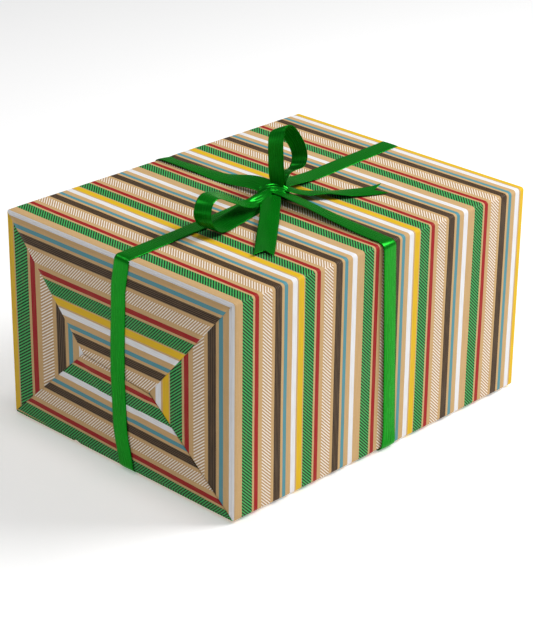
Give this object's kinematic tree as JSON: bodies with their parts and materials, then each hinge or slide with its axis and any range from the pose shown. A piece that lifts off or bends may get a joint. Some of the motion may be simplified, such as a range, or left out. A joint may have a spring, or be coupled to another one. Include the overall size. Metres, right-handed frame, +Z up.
{
  "type": "wrapped gift box",
  "caption": "Rectangular gift box wrapped in striped kraft paper, with mitred end folds and a satin ribbon tied both ways round into a bow.",
  "frame": {"origin": "on the ground, under the middle of the carton", "axes": "+Z up, +X along the long side away from the end nearest the viewer, +Y across"},
  "size_m": [0.3164, 0.2414, 0.2232],
  "materials": {
    "kraft_paper": "matte striped kraft paper",
    "grey_board": "matte",
    "clear_tape": "gloss",
    "green_satin": "satin"
  },
  "bodies": {
    "wrapped_box": {"box_lid": "grey_board", "box_base": "grey_board", "paper_sleeve": "kraft_paper", "near_end_left_tuck": "kraft_paper", "near_end_right_tuck": "kraft_paper", "near_end_top_flap": "kraft_paper", "near_end_bottom_flap": "kraft_paper", "near_end_tape": "clear_tape", "far_end_left_tuck": "kraft_paper", "far_end_right_tuck": "kraft_paper", "far_end_top_flap": "kraft_paper", "far_end_bottom_flap": "kraft_paper", "far_end_tape": "clear_tape", "seam_tape": "clear_tape", "lengthwise_ribbon": "green_satin", "widthwise_ribbon": "green_satin", "bow_knot": "green_satin"},
    "bow_loop_left": {"bow_loop_left": "green_satin"},
    "bow_loop_upper": {"bow_loop_upper": "green_satin"},
    "bow_tail_front": {"bow_tail_front": "green_satin"},
    "bow_tail_right": {"bow_tail_right": "green_satin"}
  },
  "joints": [
    {"name": "loop_left_lift", "type": "hinge", "parent": "wrapped_box", "child": "bow_loop_left", "pos_m": [-0.00674, -0.00425, 0.177], "axis": [-0.225, 0.9744, 0], "range_deg": [0, 40], "stiffness_Nm_per_rad": 0.004},
    {"name": "loop_upper_lean", "type": "hinge", "parent": "wrapped_box", "child": "bow_loop_upper", "pos_m": [0.009, -0.002, 0.1834], "axis": [0, 1, 0], "range_deg": [-25, 20], "stiffness_Nm_per_rad": 0.004},
    {"name": "tail_front_lift", "type": "hinge", "parent": "wrapped_box", "child": "bow_tail_front", "pos_m": [-0.005, -0.015, 0.1769], "axis": [-0.6428, 0.766, 0], "range_deg": [0, 60]},
    {"name": "tail_right_lift", "type": "hinge", "parent": "wrapped_box", "child": "bow_tail_right", "pos_m": [0.017, -0.01, 0.1774], "axis": [-0.5519, -0.8339, 0], "range_deg": [0, 30]}
  ]
}
